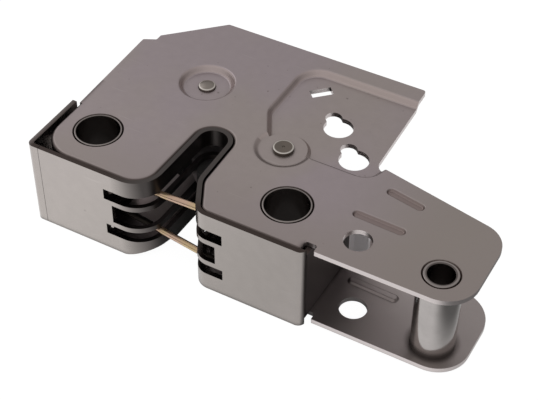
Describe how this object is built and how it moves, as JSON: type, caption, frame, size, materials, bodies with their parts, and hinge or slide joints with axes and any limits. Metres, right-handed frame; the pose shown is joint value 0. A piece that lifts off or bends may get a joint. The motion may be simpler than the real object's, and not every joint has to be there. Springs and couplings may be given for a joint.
{
  "type": "bonnet latch",
  "caption": "Sheet steel bonnet latch with a striker slot, sprung claw and pawl between two plates, pop-up spring legs, bolt bushes and a side arm.",
  "frame": {"origin": "on the axis of the left bush's bore, at the level of the bush ends that meet the car", "axes": "+X along the front edge towards the arm, +Y from the slot's mouth to the back, +Z through the latch to the plate with the cable holder openings"},
  "size_m": [0.1612, 0.0945, 0.0346],
  "materials": {
    "plate_steel": "oiled sheet steel, satin",
    "wall_steel": "oiled sheet steel, satin",
    "bush_steel": "turned steel, satin",
    "pin_steel": "upset steel, satin",
    "sleeve_steel": "drawn steel tube, satin",
    "spring_wire": "yellow passivated spring wire",
    "return_wire": "bare spring wire",
    "claw_steel": "fine blanked steel, phosphated",
    "pawl_steel": "fine blanked steel, phosphated"
  },
  "bodies": {
    "housing": {"top_plate": "plate_steel", "bottom_plate": "plate_steel", "side_wall": "wall_steel", "front_band": "wall_steel", "bush_left": "bush_steel", "bush_middle": "bush_steel", "bush_arm": "bush_steel", "claw_pin": "pin_steel", "pawl_pin": "pin_steel", "claw_sleeve_upper": "sleeve_steel", "claw_sleeve_lower": "sleeve_steel", "pawl_sleeve_upper": "sleeve_steel", "pawl_sleeve_lower": "sleeve_steel", "popup_spring": "spring_wire", "claw_spring": "return_wire", "pawl_spring": "return_wire"},
    "claw": {"claw": "claw_steel"},
    "pawl": {"pawl": "pawl_steel"},
    "popup_legs": {"popup_leg_upper": "spring_wire", "popup_leg_lower": "spring_wire"}
  },
  "joints": [
    {"name": "claw_turn", "type": "hinge", "parent": "housing", "child": "claw", "pos_m": [0.0189, 0.0416, 0.0174], "axis": [0, 0, 1], "range_deg": [0, 38], "stiffness_Nm_per_rad": 0.5, "springref_deg": -28.65},
    {"name": "pawl_turn", "type": "hinge", "parent": "housing", "child": "pawl", "pos_m": [0.0602, 0.0238, 0.0174], "axis": [0, 0, 1], "range_deg": [-12, 0], "stiffness_Nm_per_rad": 0.3, "springref_deg": 28.65},
    {"name": "popup_swing", "type": "hinge", "parent": "housing", "child": "popup_legs", "pos_m": [0, 0, 0.0174], "axis": [0, 0, 1], "range_deg": [0, 20], "stiffness_Nm_per_rad": 0.5, "springref_deg": -34.38}
  ]
}
